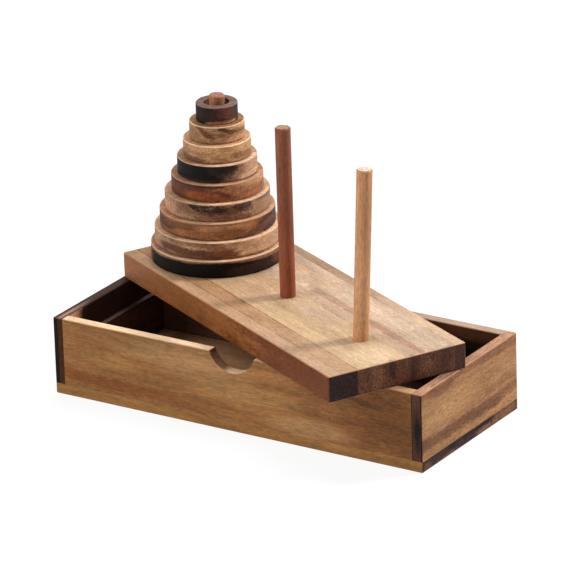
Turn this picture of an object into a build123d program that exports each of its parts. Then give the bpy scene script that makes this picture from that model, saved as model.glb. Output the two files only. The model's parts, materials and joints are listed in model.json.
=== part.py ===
from build123d import *
import os
from math import radians, tan

# Tower of Hanoi puzzle: an open wooden box, the board that is both its lid and the
# puzzle's base, three pegs that pull out of the board, and nine rings on the left peg.
# Millimetres, +Z up, +X along the box.
# The origin is the middle of the box's underside, and -Y is the box's front, with the notch.

# ---- Driving dimensions: box ----
box_length = 300.0
box_width = 128.0
box_height = 57.2
stock = 8.0                 # thickness of the floor panel and of the four walls
edge_round = 1.0            # sanded rounding on the box's and the board's outer edges

ledge_width = 4.0           # strips on the end walls that carry the board when it is stored

notch_radius = 19.0         # finger notch in the front wall
notch_depth = 13.5
notch_x = -1.5

# ---- Driving dimensions: board, lying on the rim and turned from the box's long side ----
board_length = 282.0
board_thickness = 19.1
stave_widths = (22.8, 39.0, 38.0, 8.7)   # four staves glued edge to edge, nearest first
board_turn = -27.0          # degrees about Z
board_x = 2.0
board_y = 7.4

# ---- Driving dimensions: pegs ----
peg_radius = 5.5
peg_clearance = 0.05        # radial running fit of a peg in its socket
peg_break = 0.8             # chamfer on both ends of a peg
socket_depth = 13.0
peg_spacing = 97.0
peg_row_x = -1.5            # the middle socket, measured from the middle of the board
peg_row_y = -1.0
# Each peg: its step from the middle socket, its lean towards the board's far edge in
# degrees, and its length above the board. The sockets are drilled by hand, so the two
# outer pegs lean a little.
pegs = {
    "peg_left": (-1, 1.75, 119.5),
    "peg_middle": (0, 0.0, 124.3),
    "peg_right": (1, 3.0, 122.0),
}

# ---- Driving dimensions: rings, smallest first ----
ring_diameters = (29.6, 39.0, 48.0, 56.5, 65.0, 74.4, 81.8, 89.2, 94.6)
ring_thickness = 12.7
ring_bore_radius = 9.0
ring_outer_round = 0.9
ring_bore_round = 0.5
stack_peg = "peg_left"      # the peg that the rings are stacked on

# ---- Derived sizes and planes ----
board_width = sum(stave_widths)
wall_height = box_height - stock
ledge_height = wall_height - board_thickness    # the stored board ends flush with the rim
inner_length = box_length - 2 * stock
inner_width = box_width - 2 * stock
overcut = 2.0               # how far a cut runs past the face that it starts from

floor_top = Plane.XY.offset(stock)
board_base = Plane(Location((board_x, board_y, box_height), (0, 0, board_turn)))
board_top = board_base.offset(board_thickness)


def peg_plane(name):
    """Plane at the mouth of a peg's socket, with its normal along the peg."""
    step, lean, _ = pegs[name]
    mouth = (peg_row_x + step * peg_spacing, peg_row_y, 0)
    return Plane(board_top.location * Location(mouth, (-lean, 0, 0)))


def save(piece, name):
    """Label a finished piece and write it as its own node."""
    piece.part.label = name
    export_step(piece.part, f"parts/{name}.step")


os.makedirs("parts", exist_ok=True)

# ---- Floor panel: the box's whole footprint, under the walls ----
with BuildPart() as bottom_panel:
    with BuildSketch():
        Rectangle(box_length, box_width)
    extrude(amount=stock)
    fillet(bottom_panel.edges().filter_by(Axis.Z), edge_round)
    fillet(bottom_panel.faces().sort_by(Axis.Z)[0].edges(), edge_round)
save(bottom_panel, "bottom_panel")

# ---- Walls: sanded as one frame after gluing, so the frame is rounded before it is divided ----
with BuildPart() as wall_frame:
    with BuildSketch(floor_top):
        Rectangle(box_length, box_width)
    extrude(amount=wall_height)
    fillet(wall_frame.edges().filter_by(Axis.Z), edge_round)
    with BuildSketch(floor_top):
        Rectangle(inner_length, inner_width)
    extrude(amount=wall_height, mode=Mode.SUBTRACT)
    fillet(wall_frame.faces().sort_by(Axis.Z)[-1].edges(), edge_round)
    # Finger notch: part of a circle, cut through the front wall only
    with BuildSketch(Plane.XZ.offset(inner_width / 2 - overcut)):
        with Locations((notch_x, box_height - notch_depth + notch_radius)):
            Circle(notch_radius)
    extrude(amount=stock + 2 * overcut, mode=Mode.SUBTRACT)


def wall_piece(name, centre_x, centre_y, length, width):
    """Take one wall out of the frame: the part that stands on this rectangle."""
    with BuildPart() as piece:
        add(wall_frame.part)
        with BuildSketch(floor_top):
            with Locations((centre_x, centre_y)):
                Rectangle(length, width)
        extrude(amount=wall_height, mode=Mode.INTERSECT)
    save(piece, name)


# The end walls lap over the ends of the front and back walls
end_x = (box_length - stock) / 2
side_y = (box_width - stock) / 2
wall_piece("front_wall", 0, -side_y, inner_length, stock)
wall_piece("back_wall", 0, side_y, inner_length, stock)
wall_piece("left_end_wall", -end_x, 0, stock, box_width)
wall_piece("right_end_wall", end_x, 0, stock, box_width)

# ---- Ledge strips, standing on the floor panel against the end walls ----
ledge_x = (inner_length - ledge_width) / 2
for name, centre_x in (("left_ledge", -ledge_x), ("right_ledge", ledge_x)):
    with BuildPart() as ledge:
        with BuildSketch(floor_top):
            with Locations((centre_x, 0)):
                Rectangle(ledge_width, inner_width)
        extrude(amount=ledge_height)
    save(ledge, name)

# ---- Board: sanded as one after gluing, then divided into its staves ----
with BuildPart() as board:
    with BuildSketch(board_base):
        Rectangle(board_length, board_width)
    extrude(amount=board_thickness)
    fillet(board.edges(), edge_round)
    # Blind sockets for the pegs, each along its own peg
    for name in pegs:
        with BuildSketch(peg_plane(name).offset(-socket_depth)):
            Circle(peg_radius + peg_clearance)
        extrude(amount=socket_depth + overcut, mode=Mode.SUBTRACT)

near_edge = -board_width / 2
for number, width in enumerate(stave_widths, start=1):
    with BuildPart() as stave:
        add(board.part)
        with BuildSketch(board_base):
            with Locations((0, near_edge + width / 2)):
                Rectangle(board_length, width)
        extrude(amount=board_thickness, mode=Mode.INTERSECT)
    save(stave, f"board_stave_{number}")
    near_edge += width

# ---- Pegs: plain dowels, standing on the floors of their sockets ----
for name, (_, _, exposed) in pegs.items():
    with BuildPart() as peg:
        with BuildSketch(peg_plane(name).offset(-socket_depth)):
            Circle(peg_radius)
        extrude(amount=socket_depth + exposed)
        chamfer(peg.edges().filter_by(GeomType.CIRCLE), peg_break)
    save(peg, name)

# ---- Rings: lying flat on each other, each centred on the leaning peg at its own height ----
stack_step, stack_lean, _ = pegs[stack_peg]
stack_x = peg_row_x + stack_step * peg_spacing
ring_count = len(ring_diameters)
for number, diameter in enumerate(ring_diameters, start=1):
    underside = (ring_count - number) * ring_thickness
    ring_y = peg_row_y + (underside + ring_thickness / 2) * tan(radians(stack_lean))
    with BuildPart() as ring:
        with BuildSketch(board_top.offset(underside)):
            with Locations((stack_x, ring_y)):
                Circle(diameter / 2)
                Circle(ring_bore_radius, mode=Mode.SUBTRACT)
        extrude(amount=ring_thickness)
        bore_edges = ring.edges().filter_by(GeomType.CIRCLE).sort_by(SortBy.RADIUS)[:2]
        fillet(bore_edges, ring_bore_round)
        outer_edges = ring.edges().filter_by(GeomType.CIRCLE).sort_by(SortBy.RADIUS)[-2:]
        fillet(outer_edges, ring_outer_round)
    save(ring, f"ring_{number}")
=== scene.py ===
import json
from math import cos, degrees, radians, sin

import bpy
from mathutils import Matrix, Vector


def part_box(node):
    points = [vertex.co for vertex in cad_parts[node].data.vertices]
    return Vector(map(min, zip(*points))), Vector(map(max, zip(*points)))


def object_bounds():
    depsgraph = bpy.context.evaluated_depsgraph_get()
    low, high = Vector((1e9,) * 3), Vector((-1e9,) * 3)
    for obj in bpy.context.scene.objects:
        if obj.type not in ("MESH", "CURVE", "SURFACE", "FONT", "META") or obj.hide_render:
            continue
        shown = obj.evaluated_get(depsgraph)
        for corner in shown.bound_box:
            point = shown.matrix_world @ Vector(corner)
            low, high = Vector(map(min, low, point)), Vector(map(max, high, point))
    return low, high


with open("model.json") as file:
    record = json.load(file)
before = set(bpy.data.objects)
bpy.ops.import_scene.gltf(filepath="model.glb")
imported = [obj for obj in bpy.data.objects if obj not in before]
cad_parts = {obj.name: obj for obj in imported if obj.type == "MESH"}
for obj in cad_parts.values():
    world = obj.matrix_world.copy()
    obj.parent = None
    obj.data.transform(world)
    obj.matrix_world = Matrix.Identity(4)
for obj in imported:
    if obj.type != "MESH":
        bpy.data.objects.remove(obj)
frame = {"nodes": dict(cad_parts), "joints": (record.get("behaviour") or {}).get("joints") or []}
cad_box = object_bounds()

# A wooden Tower of Hanoi puzzle: a tray, a board that lies turned on it, three pegs, nine rings.
# Every piece is a CAD node that keeps its shape. This script gives each one its own wood, cut
# from one shared solid grain pattern, and sets the floor, the lights and the camera.
# Scene lengths are metres. Inside the wood they are millimetres, with X along the grain.

BOARD_TURN = radians(-27)


# ---------------------------------------------------------------- node helpers

class Nodes:
    """Short calls that build one node tree."""

    def __init__(self, tree):
        self.tree = tree

    def add(self, kind, *values, **settings):
        node = self.tree.nodes.new("ShaderNode" + kind)
        for name, value in settings.items():
            setattr(node, name, value)
        for socket, value in zip(node.inputs, values):
            self.put(socket, value)
        return node

    def put(self, socket, value):
        if isinstance(value, bpy.types.NodeSocket):
            self.tree.links.new(value, socket)
        elif value is not None:
            socket.default_value = value

    def math(self, operation, *values):
        return self.add("Math", *values, operation=operation).outputs[0]

    def vector(self, operation, *values):
        node = self.add("VectorMath", *values, operation=operation)
        return node.outputs["Value" if operation in ("LENGTH", "DOT_PRODUCT") else "Vector"]

    def scaled(self, vector, factor):
        node = self.add("VectorMath", vector, operation="SCALE")
        self.put(node.inputs["Scale"], factor)
        return node.outputs["Vector"]

    def ramp(self, value, low, high, start=0.0, end=1.0):
        """Smooth step from start to end, as value goes from low to high."""
        node = self.add("MapRange", value, low, high, start, end, interpolation_type="SMOOTHSTEP")
        return node.outputs[0]

    def noise(self, vector, stretch, detail=2.0, roughness=0.5):
        """Noise whose features are about stretch long, in the vector's own units."""
        node = self.add("TexNoise", self.vector("DIVIDE", vector, stretch))
        node.inputs["Scale"].default_value = 1.0
        node.inputs["Detail"].default_value = detail
        node.inputs["Roughness"].default_value = roughness
        return node.outputs

    def mix(self, factor, first, second):
        # A Mix node has sockets for every type of data: 6, 7 and output 2 are the colour ones
        node = self.add("Mix", data_type="RGBA")
        self.put(node.inputs[0], factor)
        self.put(node.inputs[6], first)
        self.put(node.inputs[7], second)
        return node.outputs[2]


def colour(rgb):
    """Linear colour with alpha, from a 0 to 255 display colour."""
    channels = [c / 255 for c in rgb]
    return tuple(c / 12.92 if c <= 0.04045 else ((c + 0.055) / 1.055) ** 2.4 for c in channels) + (1.0,)


# ---------------------------------------------------------------- grain

def grain_group():
    """The solid pattern of all the wood: growth rings round a pith, streaks, fibres and pores."""
    tree = bpy.data.node_groups.new("solid_grain", "ShaderNodeTree")
    for name, kind in (("Place", "Vector"), ("Pith", "Vector"), ("RingWidth", "Float"),
                       ("Slope", "Float"), ("Waves", "Float"), ("Seed", "Vector")):
        tree.interface.new_socket(name, in_out="INPUT", socket_type="NodeSocket" + kind)
    for name in ("Rings", "Streaks", "Threads", "Fibres", "Pores", "Clouds", "Specks"):
        tree.interface.new_socket(name, in_out="OUTPUT", socket_type="NodeSocketFloat")
    n = Nodes(tree)
    given = tree.nodes.new("NodeGroupInput").outputs
    result = tree.nodes.new("NodeGroupOutput").inputs

    # The trunk isn't straight: it bends the rings, more across the grain than along it
    place = n.vector("ADD", given["Place"], given["Seed"])
    bend = n.vector("SUBTRACT", n.noise(place, (95.0, 30.0, 30.0), detail=2.5)[1], (0.5, 0.5, 0.5))
    shift = n.scaled(bend, given["Waves"])
    inside = n.vector("ADD", n.vector("SUBTRACT", given["Place"], given["Pith"]), shift)
    along, aside, above = n.add("SeparateXYZ", inside).outputs
    above = n.math("MULTIPLY_ADD", along, given["Slope"], above)
    radius = n.vector("LENGTH", n.add("CombineXYZ", 0.0, aside, above).outputs[0])

    # Growth rings darken slowly, then end in a sharp edge; some are wide and some are faint
    turns = n.math("DIVIDE", radius, given["RingWidth"])
    year = n.vector("ADD", n.add("CombineXYZ", turns).outputs[0], given["Seed"])
    turns = n.math("MULTIPLY_ADD", n.noise(year, (2.4, 1.0, 1.0), detail=1.0)[0], 2.4, turns)
    phase = n.math("FRACT", turns)
    late = n.math("MULTIPLY", n.ramp(phase, 0.25, 0.90), n.ramp(phase, 1.0, 0.93))
    strength = n.ramp(n.noise(year, (1.1, 1.0, 1.0), detail=0.0)[0], 0.35, 0.65, 0.25, 1.0)
    n.put(result["Rings"], n.math("MULTIPLY", late, strength))

    bent = n.vector("ADD", place, shift)
    n.put(result["Streaks"], n.noise(bent, (130.0, 8.0, 8.0), detail=4.0, roughness=0.6)[0])
    n.put(result["Threads"], n.noise(bent, (18.0, 2.2, 2.2), detail=3.0, roughness=0.6)[0])
    n.put(result["Fibres"], n.noise(bent, (5.0, 0.9, 0.9), detail=3.0, roughness=0.65)[0])
    n.put(result["Pores"], n.ramp(n.noise(bent, (6.0, 0.55, 0.55), detail=1.0)[0], 0.58, 0.68))
    n.put(result["Clouds"], n.noise(place, (34.0, 13.0, 13.0), detail=3.0, roughness=0.6)[0])
    n.put(result["Specks"], n.noise(place, (4.0, 1.4, 1.4), detail=3.0, roughness=0.7)[0])
    return tree


GRAIN = grain_group()
MILLIMETRE = 0.001
BUMP_STRENGTH = 0.35
BUMP_HEIGHT = 0.00006
SMOOTHEST = 0.40            # roughness between the fibres
SHINE = 0.12                # specular level of thinly oiled wood
ALONG_X = Vector((1, 0, 0))
ALONG_Y = Vector((0, 1, 0))
ALONG_BOARD = Vector((cos(BOARD_TURN), sin(BOARD_TURN), 0))


def times(rgb, factor):
    return tuple(min(c * factor, 255) for c in rgb)


def grain_frame(n, piece, along):
    """A piece's surface as its grain sees it: the place in millimetres from the piece's middle and the
    direction it faces, both with X along the grain, then the same two as the scene has them."""
    low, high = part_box(piece)
    turn = along.to_track_quat("X", "Z").to_euler()
    coordinates = n.add("TexCoord").outputs
    world, normal = coordinates["Object"], coordinates["Normal"]
    place = n.add("Mapping", world, (low + high) / 2, turn, (MILLIMETRE,) * 3, vector_type="TEXTURE")
    facing = n.add("Mapping", normal, None, turn, None, vector_type="TEXTURE")
    return place.outputs[0], facing.outputs[0], world, normal


def streaked(n, grain, base, contrast, rings):
    """The base colour in long lighter and deeper streaks, with the darker late wood of the rings."""
    light = (base[0] * (1 + contrast), base[1] * (1 + 1.1 * contrast), base[2] * (1 + 1.2 * contrast))
    deep = (base[0] * (1 - contrast), base[1] * (1 - 1.2 * contrast), base[2] * (1 - 1.3 * contrast))
    tone = n.mix(n.ramp(grain["Streaks"], 0.32, 0.68), colour(light), colour(deep))
    return n.mix(n.math("MULTIPLY", grain["Rings"], rings), tone, colour(times(base, 0.55)))


def fine_figure(n, grain, end_on, mottle, figure, pores, dots):
    """A factor on the colour: fibres and open pores along the grain, dots where it is cut across."""
    cloudy = n.ramp(grain["Clouds"], 0.30, 0.70, 1.0 - mottle, 1.0 + mottle)
    threads = n.ramp(grain["Threads"], 0.30, 0.70, 1.0 + 0.7 * figure, 1.0 - 0.7 * figure)
    fibres = n.ramp(grain["Fibres"], 0.30, 0.70, 1.0 - 1.3 * figure, 1.0 + 1.3 * figure)
    specks = n.ramp(grain["Specks"], 0.32, 0.68, 1.0 - 0.8 * figure, 1.0 + 0.8 * figure)
    open_pores = n.math("MULTIPLY_ADD", grain["Pores"], -0.55 * pores, 1.0)
    shade = cloudy
    for factor in (threads, fibres, specks, open_pores):
        shade = n.math("MULTIPLY", shade, factor)
    dotted = n.math("MULTIPLY", cloudy, n.ramp(grain["Specks"], 0.34, 0.66, 1.0 + dots, 1.0 - dots))
    return n.add("MapRange", end_on, 0.0, 1.0, shade, dotted).outputs[0]


def oiled_surface(n, grain, end_on, tone):
    """A satin shader: duller and rougher in the pores and on cut ends, with the grain in relief."""
    relief = n.math("MULTIPLY_ADD", grain["Pores"], -0.7, grain["Fibres"])
    relief = n.math("MULTIPLY_ADD", grain["Rings"], -0.25, relief)
    bump = n.add("Bump", BUMP_STRENGTH, BUMP_HEIGHT)
    n.put(bump.inputs["Height"], relief)
    rough = n.math("MULTIPLY_ADD", grain["Fibres"], 0.16, SMOOTHEST)
    rough = n.math("MULTIPLY_ADD", grain["Pores"], 0.15, rough)
    rough = n.math("MULTIPLY_ADD", end_on, 0.12, rough)
    shader = n.add("BsdfPrincipled", tone)
    n.put(shader.inputs["Roughness"], rough)
    n.put(shader.inputs["Specular IOR Level"], SHINE)
    n.put(shader.inputs["Normal"], bump.outputs[0])
    n.add("OutputMaterial", shader.outputs[0])


def wood(piece, along, seed, base, contrast=0.07, end=None, edge=None, pith=(0, 28, -46),
         ring_width=5.5, slope=0.0, waves=16.0, rings=0.22, mottle=0.10, figure=0.10, pores=0.5,
         dots=0.5, zones=()):
    """Gives a piece its wood, round one base colour. zones are (mask, colour, strength) triples laid
    over the streaks in turn; end and edge are the colours of cut ends and of sanded edges, partly a
    painted highlight."""
    material = bpy.data.materials.new("wood_" + piece)
    material.use_nodes = True
    material.node_tree.nodes.clear()
    n = Nodes(material.node_tree)
    place, facing, world, normal = grain_frame(n, piece, along)
    group = n.add("Group", node_tree=GRAIN)
    for name, value in (("Place", place), ("Pith", pith), ("RingWidth", ring_width), ("Slope", slope),
                        ("Waves", waves), ("Seed", (seed * 317.0, seed * 71.0, seed * 43.0))):
        n.put(group.inputs[name], value)
    grain = group.outputs

    tone = streaked(n, grain, base, contrast, rings)
    end_on = n.math("ABSOLUTE", n.add("SeparateXYZ", facing).outputs[0])
    end_on = n.ramp(end_on, 0.60, 0.95)
    tone = n.mix(end_on, tone, colour(end or times(base, 0.45)))
    for make_mask, zone_colour, amount in zones:
        mask = make_mask(n, place, world, facing, grain)
        tone = n.mix(n.math("MULTIPLY", mask, amount), tone, colour(zone_colour))
    tone = n.scaled(tone, fine_figure(n, grain, end_on, mottle, figure, pores, dots))

    # Sanded edges are a little lighter, partly as a painted highlight: there the surface faces between
    # two of the piece's own sides
    wear_and_highlight = n.math("MULTIPLY", edge_mask(n, piece, facing, normal),
                  n.ramp(grain["Clouds"], 0.30, 0.70, 0.55, 0.95))
    tone = n.mix(wear_and_highlight, tone, colour(edge or times(base, 1.22)))
    oiled_surface(n, grain, end_on, tone)
    for slot in frame["nodes"][piece].material_slots:
        slot.material = material


def edge_mask(n, piece, facing, normal):
    """1 on the rounded edges round the upper faces, but not in the curve of the finger notch."""
    up = n.add("SeparateXYZ", normal).outputs[2]
    rounded = n.math("MULTIPLY", n.ramp(up, 0.15, 0.45), n.ramp(up, 0.98, 0.85))
    if piece == "front_wall":
        aside = n.math("ABSOLUTE", n.add("SeparateXYZ", facing).outputs[0])
        return n.math("MULTIPLY", rounded, n.ramp(aside, 0.25, 0.10))
    return rounded


# ---------------------------------------------------------------- zones of other colour
# Each of these makes a mask: a function of the node helper, the place in the grain frame, the
# place in the scene, the direction the surface faces in the grain frame, and the grain outputs.

def ragged_edge(n, away, grain, amount):
    """Lets the figure of the wood push the edge of a mask in and out."""
    for pattern in ("Streaks", "Clouds", "Specks"):
        away = n.math("MULTIPLY_ADD", n.math("SUBTRACT", grain[pattern], 0.5), amount, away)
    return away


def patch(centre, reach, ragged=1.2):
    """A soft blot round a point of the grain frame, reach mm in each direction."""
    def mask(n, place, world, facing, grain):
        away = n.vector("LENGTH", n.vector("DIVIDE", n.vector("SUBTRACT", place, centre), reach))
        return n.ramp(ragged_edge(n, away, grain, ragged), 1.25, 0.35)
    return mask


def band(start, stop, reach, ragged=1.0):
    """A soft stripe between two points of the grain frame, reach mm wide each side of its line."""
    start, stop, reach = Vector(start), Vector(stop), Vector(reach)
    run = Vector(b / c for b, c in zip(stop - start, reach))

    def mask(n, place, world, facing, grain):
        offset = n.vector("DIVIDE", n.vector("SUBTRACT", place, start), reach)
        part = n.math("DIVIDE", n.vector("DOT_PRODUCT", offset, run), run.length_squared)
        part = n.math("MINIMUM", n.math("MAXIMUM", part, 0.0), 1.0)
        away = n.vector("LENGTH", n.vector("SUBTRACT", offset, n.scaled(tuple(run), part)))
        return n.ramp(ragged_edge(n, away, grain, ragged), 1.2, 0.45)
    return mask


def line(across, half_width, soft=0.5):
    """A straight stripe along the grain, across mm from the piece's middle, fading over soft mm."""
    def mask(n, place, world, facing, grain):
        away = n.math("ABSOLUTE", n.math("SUBTRACT", n.add("SeparateXYZ", place).outputs[1], across))
        return n.ramp(away, half_width + soft, half_width)
    return mask


def mark(piece, start, stop, reach, ragged=0.9):
    """A soft stroke on the side of a ring, reach wide each side of its line. Places are an azimuth in
    degrees, from the front wall's outward direction to the right, and a height of -0.5 to 0.5."""
    low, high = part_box(piece)
    centre = (low + high) / 2
    start, stop = ((degree / reach[0], level / reach[1], 0) for degree, level in (start, stop))
    run = Vector(stop) - Vector(start)

    def mask(n, place, world, facing, grain):
        aside, away, level = n.add("SeparateXYZ", n.vector("SUBTRACT", world, centre)).outputs
        azimuth = n.math("ARCTAN2", aside, n.math("MULTIPLY", away, -1.0))
        azimuth = n.math("MULTIPLY", azimuth, degrees(1) / reach[0])
        level = n.math("MULTIPLY", level, 1 / reach[1] / (high.z - low.z))
        offset = n.vector("SUBTRACT", n.add("CombineXYZ", azimuth, level).outputs[0], start)
        part = n.math("DIVIDE", n.vector("DOT_PRODUCT", offset, run), max(run.length_squared, 0.01))
        part = n.math("MINIMUM", n.math("MAXIMUM", part, 0.0), 1.0)
        distance = n.vector("LENGTH", n.vector("SUBTRACT", offset, n.scaled(run, part)))
        return n.ramp(ragged_edge(n, distance, grain, ragged), 1.25, 0.45)
    return mask


def from_axis(n, world, piece):
    """How far a place is from the upright line through a ring's middle."""
    low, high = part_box(piece)
    offset = n.vector("SUBTRACT", world, (low + high) / 2)
    return n.vector("LENGTH", n.vector("MULTIPLY", offset, (1, 1, 0)))


def bore_wall(piece):
    """The wall of the hole in a ring, whose radius is 9 mm."""
    def mask(n, place, world, facing, grain):
        return n.ramp(from_axis(n, world, piece), 0.0104, 0.0098)
    return mask


def outer_part(piece, width, soft=0.0005):
    """The part of a ring within width of its outer side."""
    low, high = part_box(piece)
    inner = (high.x - low.x) / 2 - width

    def mask(n, place, world, facing, grain):
        return n.ramp(from_axis(n, world, piece), inner - soft, inner + soft)
    return mask


def upper_side(n, place, world, facing, grain):
    """The upward faces, with the rounded edge beside them."""
    return n.ramp(n.add("SeparateXYZ", facing).outputs[2], 0.35, 0.8)


def on_top(make_mask):
    """The part of a mask that lies on the upward faces."""
    return both(make_mask, upper_side)


def facing_to(direction):
    """The faces turned to one direction of the grain frame."""
    def mask(n, place, world, facing, grain):
        return n.ramp(n.vector("DOT_PRODUCT", facing, direction), 0.4, 0.8)
    return mask


def both(first_mask, second_mask):
    """Where two masks meet."""
    def mask(n, *rest):
        return n.math("MULTIPLY", first_mask(n, *rest), second_mask(n, *rest))
    return mask


# ---------------------------------------------------------------- tray
# In the grain frame of the end walls X runs from front to back, and Y from right to left.

# So wide that it covers any piece, but the figure of the wood makes it uneven
EVERYWHERE = patch((0, 0, 0), (400, 200, 200))
INNER_FLOOR = facing_to((0, 0, 1))
NOTCH_LEFT = facing_to((1, 0, 0.35))            # the cut on its left, which faces right and up
NEAR_SIDE = facing_to((0, -1, 0))               # of a piece along X or along the board
NEAR_END = facing_to((-1, 0, 0))                # of an end wall
RIGHT_SIDE = facing_to((0, -1, 0))              # of an end wall

wood("bottom_panel", ALONG_X, 1, (146, 102, 56), end=(52, 31, 28), ring_width=7.0, rings=0.1, dots=0.3,
     zones=((INNER_FLOOR, (176, 134, 100), 0.9),
            # Painted shade: the back right of the inner floor is painted dark where light through the
            # open corner falls
            (both(INNER_FLOOR, patch((95, 15, 4), (75, 80, 20), 0.15)), (42, 30, 24), 0.9),
            (patch((150, -58, -1), (8, 5, 4)), (98, 66, 44), 0.8),
            (patch((150, -30, -2.5), (8, 16, 1.6)), (104, 70, 46), 0.8),
            (patch((150, -22, 2), (8, 10, 2)), (26, 14, 15), 0.9),
            (band((150, -6, 2), (150, 26, 2), (8, 8, 1.8)), (28, 18, 17), 0.9),
            (patch((150, 20, -1.5), (8, 16, 2.4)), (120, 82, 54), 0.85),
            (patch((150, 48, 0), (8, 20, 6)), (122, 82, 54), 0.85)))
wood("front_wall", ALONG_X, 2, (143, 98, 56), pith=(0, -12, 14), slope=0.05, edge=(176, 134, 96),
     mottle=0.13, figure=0.13, pores=0.4,
     zones=((band((-140, 0, -15), (-50, 0, -18), (14, 30, 5.5)), (122, 70, 34), 0.8),
            (band((-50, 0, -18), (60, 0, -20), (20, 30, 4.5)), (138, 90, 50), 0.6),
            (patch((-100, 0, 1), (30, 30, 8)), (160, 116, 66), 0.6),
            (patch((-40, 0, 12), (60, 30, 12)), (170, 129, 86), 0.7),
            (patch((0, 0, -2), (60, 30, 10)), (160, 119, 75), 0.6),
            (patch((125, 0, -2), (62, 30, 44)), (122, 76, 40), 0.85),
            (band((84, 0, 15), (112, 0, 8), (10, 30, 2.6)), (88, 56, 34), 0.6),
            # Painted shadow of the board's overhanging corner on the upper right of the front face
            (patch((116, 0, 18), (12, 30, 7)), (96, 60, 36), 0.6),
            (patch((58, 0, -18), (38, 30, 8)), (182, 138, 92), 0.65),
            (on_top(EVERYWHERE), (202, 170, 138), 0.95),
            (on_top(patch((128, 0, 24), (26, 30, 30))), (158, 116, 86), 0.9),
            # Painted shade: the left cut of the finger notch, under the board, is painted dark
            (NOTCH_LEFT, (92, 56, 36), 0.9)))
wood("back_wall", ALONG_X, 3, (126, 86, 56), pith=(0, 15, 10), slope=0.04, edge=(150, 116, 92),
     # The inner face is painted shade: darker than the outer wood, nearly black at the right end,
     # lighter towards the left and brown along the top
     zones=((NEAR_SIDE, (78, 53, 40), 0.9),
            (both(NEAR_SIDE, patch((125, -4, 2), (40, 8, 22))), (30, 19, 15), 0.95),
            (both(NEAR_SIDE, patch((-100, -4, 0), (60, 8, 60), 0.6)), (104, 80, 68), 0.9),
            (patch((70, -4, 20), (90, 8, 6)), (94, 56, 34), 0.7),
            (on_top(EVERYWHERE), (142, 114, 95), 0.9),
            (on_top(patch((120, 0, 20), (60, 90, 90))), (152, 128, 111), 0.8)))
wood("left_end_wall", ALONG_Y, 4, (66, 48, 40), end=(62, 32, 10), edge=(74, 54, 44),
     zones=((both(NEAR_END, line(2.6, 2.0, 1.0)), (14, 9, 7), 0.95),
            # The inner face is painted darker as shade, and a patch above the ledge near the front is
            # painted light
            (RIGHT_SIDE, (56, 36, 31), 0.8),
            (both(RIGHT_SIDE, patch((-50, -4, 20), (9, 6, 16))), (226, 160, 136), 0.95),
            (on_top(EVERYWHERE), (70, 48, 39), 0.9),
            (on_top(patch((-50, -1, 20), (22, 2.4, 90))), (150, 114, 98), 0.9),
            (on_top(patch((40, 0, 20), (60, 30, 90))), (60, 44, 36), 0.8),
            (on_top(line(-3.6, 1.0, 1.5)), (44, 30, 24), 0.5),
            (on_top(line(3.8, 0.9, 1.0)), (40, 28, 22), 0.8)))
wood("right_end_wall", ALONG_Y, 5, (155, 110, 69), pith=(0, -14, 10), slope=-0.05, waves=20.0,
     end=(66, 43, 34), edge=(164, 120, 90), figure=0.15, pores=0.8, dots=0.25,
     zones=((band((-66, 0, -14), (30, 0, -14.5), (14, 30, 5.0)), (96, 58, 32), 0.85),
            (band((30, 0, -14), (66, 0, -11), (14, 30, 4.0)), (122, 80, 50), 0.7),
            (band((-66, 0, 22), (-30, 0, 20), (10, 30, 4.5)), (116, 72, 40), 0.8),
            (band((-14, 0, 23), (66, 0, 20), (14, 30, 4.0)), (122, 80, 50), 0.8),
            (patch((-26, 0, 3), (36, 30, 10)), (174, 131, 86), 0.7),
            (patch((50, 0, 5), (24, 30, 9)), (166, 124, 84), 0.6),
            (NEAR_END, (80, 50, 38), 1.0),
            (both(NEAR_END, patch((-64, -0.5, -2), (6, 3.2, 16))), (24, 16, 15), 0.9),
            (both(NEAR_END, line(-4.0, 0.6, 0.8)), (20, 12, 12), 0.8),
            (both(NEAR_END, line(4.0, 0.3, 0.6)), (20, 12, 12), 0.8),
            (on_top(EVERYWHERE), (150, 112, 88), 0.9)))
wood("left_ledge", ALONG_Y, 6, (84, 60, 48),
     zones=((on_top(EVERYWHERE), (112, 92, 82), 0.9),))
wood("right_ledge", ALONG_Y, 7, (76, 52, 40))

# ---------------------------------------------------------------- board

GLUE = (96, 66, 46)
# Colour of the board's rounded edges: sanded lighter, and partly a painted highlight
BOARD_EDGE = (182, 142, 110)
LEFT_HALF = patch((-80, 0, 9), (130, 60, 60))

wood("board_stave_1", ALONG_BOARD, 8, (152, 118, 88), end=(44, 29, 26), edge=(160, 118, 86), waves=22.0,
     zones=((on_top(patch((110, 0, 9), (110, 60, 60))), (160, 130, 104), 0.9),
            (on_top(line(5.3, 5.4)), (150, 118, 88), 0.45),
            (both(LEFT_HALF, on_top(line(5.3, 5.4))), (140, 103, 70), 0.7),
            (both(LEFT_HALF, on_top(line(-6.1, 5.0))), (164, 130, 99), 0.6),
            (on_top(line(-0.8, 0.3)), GLUE, 0.25),
            (both(LEFT_HALF, on_top(line(-0.8, 0.3))), GLUE, 0.5),
            (on_top(line(11.4, 0.3)), GLUE, 0.45),
            (both(LEFT_HALF, on_top(line(11.0, 0.5))), GLUE, 0.5),
            (NEAR_SIDE, (138, 86, 47), 1.0),
            (both(NEAR_SIDE, patch((115, 0, 0), (120, 60, 60))), (100, 48, 10), 0.95),
            (both(NEAR_SIDE, patch((-120, 0, -3), (60, 60, 14))), (146, 96, 58), 0.6)))
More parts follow.
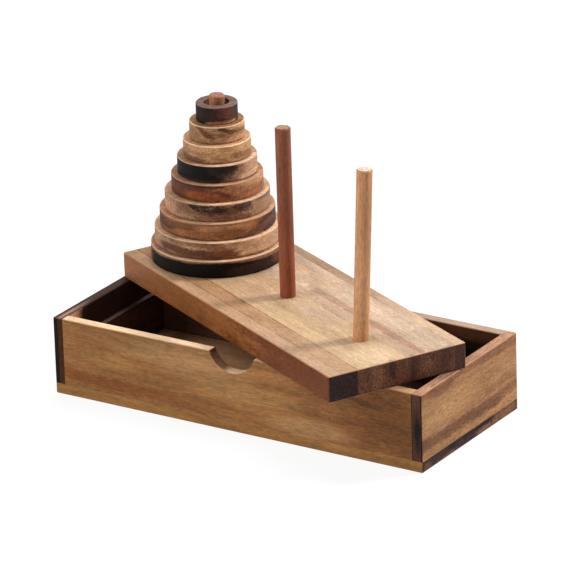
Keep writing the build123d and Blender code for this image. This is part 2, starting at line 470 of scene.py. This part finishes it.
wood("board_stave_2", ALONG_BOARD, 9, (162, 134, 103), end=(90, 56, 38), edge=BOARD_EDGE, contrast=0.05,
     zones=((on_top(patch((35, 9, 9), (38, 9, 20))), (168, 140, 118), 0.6),
            (on_top(patch((124, 0, 9), (24, 24, 20))), (196, 168, 136), 0.8),
            (on_top(patch((45, -11, 9), (90, 8, 20))), (172, 144, 111), 0.6),
            (patch((141, -4, 0), (3, 5, 12)), (116, 76, 52), 0.7),
            (patch((141, 8, 3), (3, 4, 8)), (60, 34, 30), 0.8),
            (on_top(patch((-60, 0, 9), (60, 30, 20))), (152, 120, 90), 0.6),
            (on_top(line(-19.5, 0.3)), GLUE, 0.5)))
wood("board_stave_3", ALONG_BOARD, 10, (172, 148, 125), end=(92, 58, 42), edge=BOARD_EDGE, contrast=0.05,
     zones=((on_top(line(-14.5, 3.0, 2.5)), (146, 118, 94), 0.65),
            (on_top(band((4, -6, 9), (132, -6.5, 9), (16, 4.0, 20))), (142, 107, 86), 0.8),
            (on_top(patch((-40, 4, 9), (60, 14, 20))), (154, 124, 97), 0.7),
            (patch((141, -14, 0), (3, 4, 12)), (58, 34, 30), 0.8),
            (patch((141, -2, -2), (3, 5, 8)), (112, 76, 54), 0.7),
            (patch((141, 12, 2), (3, 5, 10)), (66, 40, 34), 0.7),
            (on_top(line(-19.0, 0.25)), GLUE, 0.35)))
wood("board_stave_4", ALONG_BOARD, 11, (144, 116, 93), end=(70, 43, 32), edge=BOARD_EDGE, contrast=0.06,
     zones=((on_top(patch((115, 0, 9), (80, 30, 20))), (180, 152, 127), 0.8),
            (on_top(line(-4.35, 0.25)), GLUE, 0.35)))

# ---------------------------------------------------------------- pegs

# Wood, cut end, and the tint of the lower half
PEG_WOODS = {
    "peg_left": ((164, 108, 78), (124, 86, 76), (146, 92, 64)),
    "peg_middle": ((124, 73, 52), (136, 108, 90), (144, 79, 53)),
    "peg_right": ((190, 138, 97), (178, 160, 146), (206, 152, 110)),
}
pull_axes = {joint["child"]: Vector(joint["axis"]) for joint in frame["joints"]}
for number, (peg, (base, end, lower)) in enumerate(PEG_WOODS.items()):
    wood(peg, pull_axes[peg], 20 + number, base, end=end, edge=times(base, 0.9), waves=5.0,
         ring_width=2.6, pith=(0, 6, -9), zones=((patch((-70, 0, 0), (90, 30, 30)), lower, 0.9),))

# ---------------------------------------------------------------- rings

BLACK = (16, 11, 9)
# Colour of the rings' rounded edges: sanded lighter, and partly a painted highlight
RING_EDGE = (216, 184, 150)
RIM_WIDTH = 0.0030


def across(angle):
    """A level grain direction, so many degrees from the box's length."""
    return Vector((cos(radians(angle)), sin(radians(angle)), 0))


def lit_rim(piece):
    """A painted highlight: the outer strip of a ring's top, on the front and the right only."""
    front_and_right = mark(piece, (8, 0.5), (104, 0.5), (16, 9.0), 0.2)
    return both(on_top(outer_part(piece, RIM_WIDTH)), front_and_right)


def ring(number, along, base, *strokes, top, edge=RING_EDGE, bore_painted_light=None, rim_highlight=None):
    """strokes are the colour, strength, start, stop, reach and raggedness of the marks on the ring's
    side; top and edge are the colours of the parts with those names, and the last two give the colour of
    the hole's wall, painted lighter on ring 1, and of the painted highlight on the outer strip of the
    top."""
    piece = "ring_%d" % number
    marks = tuple((mark(piece, *shape), tint, amount) for tint, amount, *shape in strokes)
    parts = ((bore_wall(piece), bore_painted_light or base, 0.9),
             (on_top(EVERYWHERE), top, 0.9),
             (lit_rim(piece), rim_highlight or top, 0.9))
    wood(piece, across(along), 30 + number, base, end=times(base, 0.9), edge=edge, figure=0.19,
         pores=0.9, dots=0.40, zones=marks + parts)


# Ring 1: the grey of its top is partly a painted sheen, and the lighter wall of its hole is painted
# light
ring(1, 37, (86, 52, 42),
     (BLACK, 0.95, (-80, 0.0), (-22, 0.0), (40, 3.0)),
     ((46, 28, 22), 0.85, (-6, 0.05), (34, 0.0), (20, 0.5)),
     ((106, 58, 52), 0.7, (48, 0.1), (60, 0.1), (16, 0.3)),
     ((182, 126, 90), 0.85, (18, -0.48), (92, -0.44), (20, 0.18)),
     ((52, 36, 31), 0.9, (104, 0.0), (124, 0.0), (14, 3.0)),
     top=(98, 76, 70), edge=(122, 94, 84), bore_painted_light=(110, 76, 58))
ring(2, 40, (166, 122, 82),
     ((134, 98, 70), 0.7, (-50, 0.1), (-22, 0.0), (18, 0.3)),
     ((106, 62, 42), 0.9, (-8, 0.4), (16, -0.05), (7, 0.13)),
     ((112, 66, 44), 0.8, (12, 0.15), (34, -0.45), (6, 0.12)),
     ((78, 48, 32), 0.9, (42, 0.36), (66, 0.12), (9, 0.11)),
     ((116, 80, 54), 0.8, (66, 0.12), (102, 0.08), (14, 0.08)),
     ((204, 152, 108), 0.7, (45, -0.3), (100, -0.3), (22, 0.16)),
     ((206, 158, 116), 0.8, (64, 0.42), (106, 0.38), (12, 0.12)),
     top=(126, 90, 62))
ring(3, 43, (188, 142, 98),
     ((108, 72, 50), 0.9, (-60, -0.22), (-6, -0.36), (16, 0.2)),
     ((142, 106, 78), 0.7, (-50, 0.12), (2, 0.0), (20, 0.14)),
     ((132, 90, 62), 0.85, (72, -0.14), (104, -0.26), (14, 0.24)),
     ((124, 76, 48), 0.6, (12, -0.3), (16, -0.42), (5, 0.1)),
     ((150, 102, 66), 0.5, (28, -0.2), (44, -0.25), (8, 0.08)),
     top=(172, 130, 100), edge=(226, 190, 154))
ring(4, 37, (182, 140, 108),
     ((206, 162, 128), 0.7, (80, -0.3), (110, -0.3), (16, 0.2)),
     ((132, 94, 70), 0.8, (50, -0.3), (64, 0.1), (16, 0.6)),
     ((70, 46, 34), 0.9, (30, -0.2), (52, 0.3), (14, 0.5)),
     (BLACK, 1.0, (-90, 0.0), (20, 0.0), (24, 3.0)),
     ((42, 30, 25), 0.95, (30, 0.2), (50, 0.34), (12, 0.3)),
     ((78, 54, 42), 0.6, (-24, -0.48), (26, -0.48), (14, 0.14)),
     top=(150, 114, 88), edge=(180, 142, 114), rim_highlight=(206, 168, 138))
ring(5, 34, (162, 106, 71),
     ((86, 46, 28), 0.95, (-70, -0.1), (4, 0.0), (24, 0.9)),
     ((140, 74, 40), 0.9, (2, -0.15), (32, -0.25), (16, 0.3)),
     ((66, 38, 27), 0.9, (-34, 0.40), (30, 0.42), (14, 0.11)),
     ((88, 50, 32), 0.7, (34, 0.1), (52, -0.3), (6, 0.12)),
     ((178, 134, 98), 0.8, (72, 0.38), (112, 0.3), (16, 0.18)),
     ((126, 80, 56), 0.7, (74, -0.1), (106, -0.06), (12, 0.09)),
     top=(140, 102, 76), edge=(160, 120, 92), rim_highlight=(170, 130, 100))
ring(6, 37, (160, 122, 90),
     ((178, 134, 103), 0.95, (-60, -0.2), (-26, -0.2), (22, 0.5)),
     ((108, 74, 56), 0.8, (-6, 0.26), (14, 0.1), (14, 0.52), 1.6),
     ((98, 58, 43), 0.85, (28, 0.1), (54, 0.2), (14, 0.36), 1.8),
     ((34, 26, 19), 0.9, (14, 0.34), (36, 0.28), (12, 0.34), 2.2),
     ((56, 42, 36), 0.7, (56, 0.30), (66, 0.20), (8, 0.30), 2.2),
     ((128, 76, 56), 0.8, (22, -0.3), (58, -0.3), (18, 0.2)),
     ((100, 80, 64), 0.8, (90, 0.45), (112, 0.42), (14, 0.16)),
     top=(168, 130, 102), edge=(160, 122, 94), rim_highlight=(200, 162, 131))
ring(7, 35, (146, 94, 57),
     ((60, 36, 25), 0.95, (-70, 0.05), (-30, 0.05), (22, 0.36)),
     ((104, 66, 43), 0.8, (-24, 0.12), (6, 0.24), (14, 0.22)),
     ((112, 70, 46), 0.7, (-44, -0.46), (4, -0.42), (14, 0.1)),
     ((178, 130, 92), 0.7, (22, 0.2), (58, 0.26), (14, 0.24)),
     ((72, 46, 39), 1.0, (130, 0.0), (92, 0.08), (16, 0.8)),
     ((100, 64, 50), 0.9, (96, 0.05), (60, -0.42), (12, 0.14)),
     top=(158, 120, 92), edge=(164, 126, 96), rim_highlight=(182, 143, 112))
ring(8, 40, (198, 154, 118),
     ((156, 122, 96), 0.9, (-60, 0.15), (-28, 0.2), (22, 0.6)),
     ((92, 56, 38), 0.95, (-20, -0.08), (34, -0.22), (17, 0.28)),
     ((106, 62, 44), 0.8, (-24, -0.42), (62, -0.46), (20, 0.13)),
     ((120, 78, 54), 0.75, (-8, 0.36), (14, 0.34), (10, 0.2)),
     ((134, 80, 52), 0.7, (26, 0.4), (46, -0.3), (8, 0.28)),
     ((128, 88, 58), 0.6, (12, 0.44), (30, 0.42), (10, 0.1)),
     ((152, 108, 76), 0.7, (66, -0.46), (104, -0.46), (16, 0.13)),
     top=(178, 140, 110), edge=(188, 151, 121), rim_highlight=(216, 179, 147))
ring(9, 37, BLACK,
     ((92, 62, 42), 0.9, (-70, -0.1), (-50, -0.2), (10, 0.5)),
     ((56, 38, 31), 0.8, (54, -0.2), (84, -0.1), (16, 0.4)),
     ((100, 64, 50), 0.8, (96, 0.0), (120, 0.0), (10, 0.6)),
     # Along the top of the side, these two lighter strokes are partly a painted highlight on the rounded
     # edge
     ((160, 120, 92), 0.85, (-40, 0.5), (110, 0.5), (14, 0.18)),
     ((144, 106, 80), 0.75, (60, 0.42), (108, 0.34), (12, 0.16)),
     top=(152, 114, 88), edge=(212, 174, 142), rim_highlight=(196, 158, 126))


# ---------------------------------------------------------------- floor, lights, camera

def plain_floor():
    """A pale floor that shows soft shadows and otherwise shines almost white."""
    bpy.ops.mesh.primitive_plane_add(size=14)
    floor = bpy.context.object
    floor.name = "floor"
    material = bpy.data.materials.new("pale_floor")
    material.use_nodes = True
    shader = material.node_tree.nodes["Principled BSDF"]
    shader.inputs["Base Color"].default_value = (0.10, 0.10, 0.10, 1)
    shader.inputs["Roughness"].default_value = 0.9
    shader.inputs["Specular IOR Level"].default_value = 0.0
    shader.inputs["Emission Color"].default_value = (1.0, 1.0, 1.0, 1)
    shader.inputs["Emission Strength"].default_value = 0.89
    floor.data.materials.append(material)


LAMP_DISTANCE = 2.5


def soft_light(name, towards, size, power):
    """A square lamp in the direction towards, aimed at the middle of the object."""
    middle = (cad_box[0] + cad_box[1]) / 2
    direction = Vector(towards).normalized()
    lamp = bpy.data.lights.new(name, "AREA")
    lamp.energy = power
    lamp.size = size
    holder = bpy.data.objects.new(name, lamp)
    holder.location = middle + direction * LAMP_DISTANCE
    holder.rotation_mode = "QUATERNION"
    holder.rotation_quaternion = direction.to_track_quat("Z", "Y")
    bpy.context.scene.collection.objects.link(holder)


def white_surroundings(strength):
    """The even white light of a studio tent."""
    world = bpy.data.worlds.new("studio")
    world.use_nodes = True
    background = world.node_tree.nodes["Background"]
    background.inputs["Color"].default_value = (1.0, 1.0, 1.0, 1)
    background.inputs["Strength"].default_value = strength
    bpy.context.scene.world = world


def camera():
    """A long lens a little above the box, a third of the way round from its front to its right."""
    azimuth, elevation, roll = radians(33.0), radians(21.52), radians(-1.86)
    target = Vector((-0.0348, 0.0577, 0.0601))
    distance = 3.844
    back = Vector((sin(azimuth) * cos(elevation), -cos(azimuth) * cos(elevation), sin(elevation)))
    level = Vector((cos(azimuth), sin(azimuth), 0))
    raised = back.cross(level)
    right = level * cos(roll) + raised * sin(roll)
    up = raised * cos(roll) - level * sin(roll)
    data = bpy.data.cameras.new("camera")
    data.lens = 344.4
    data.sensor_width = 36
    data.clip_start = 0.1
    data.clip_end = 50
    holder = bpy.data.objects.new("camera", data)
    turned = Matrix((right, up, back)).transposed().to_4x4()
    holder.matrix_world = Matrix.Translation(target + back * distance) @ turned
    bpy.context.scene.collection.objects.link(holder)
    bpy.context.scene.camera = holder


plain_floor()
white_surroundings(0.30)
soft_light("key", (0.50, 0.54, 0.68), 0.50, 70)
soft_light("fill", (-0.59, -0.53, 0.62), 1.00, 38)
soft_light("overhead", (-0.15, 0.35, 0.92), 1.40, 51)
camera()
bpy.context.scene.view_settings.view_transform = "Standard"
